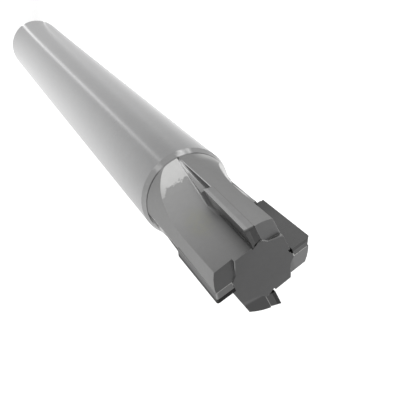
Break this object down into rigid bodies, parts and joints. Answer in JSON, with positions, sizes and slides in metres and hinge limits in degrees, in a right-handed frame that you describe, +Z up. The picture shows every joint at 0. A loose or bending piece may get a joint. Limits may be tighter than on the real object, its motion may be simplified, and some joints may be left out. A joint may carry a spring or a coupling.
{
  "type": "corner radius end mill",
  "caption": "Long round-shank end mill with straight flutes and brazed diamond-faced inserts that have a small corner radius.",
  "frame": {"origin": "centre of the shank's end face, on which the tool stands", "axes": "+Z up the tool's axis to the cutting head; +X through the first tooth"},
  "size_m": [0.02, 0.02, 0.175],
  "materials": {
    "body_steel": "ground",
    "carbide": "fine ground",
    "diamond": "lapped",
    "braze": "satin"
  },
  "bodies": {
    "root": {"body": "body_steel", "insert_backing_1": "carbide", "insert_backing_2": "carbide", "insert_backing_3": "carbide", "insert_backing_4": "carbide", "diamond_layer_1": "diamond", "diamond_layer_2": "diamond", "diamond_layer_3": "diamond", "diamond_layer_4": "diamond", "braze_joint_1": "braze", "braze_joint_2": "braze", "braze_joint_3": "braze", "braze_joint_4": "braze"}
  },
  "joints": []
}
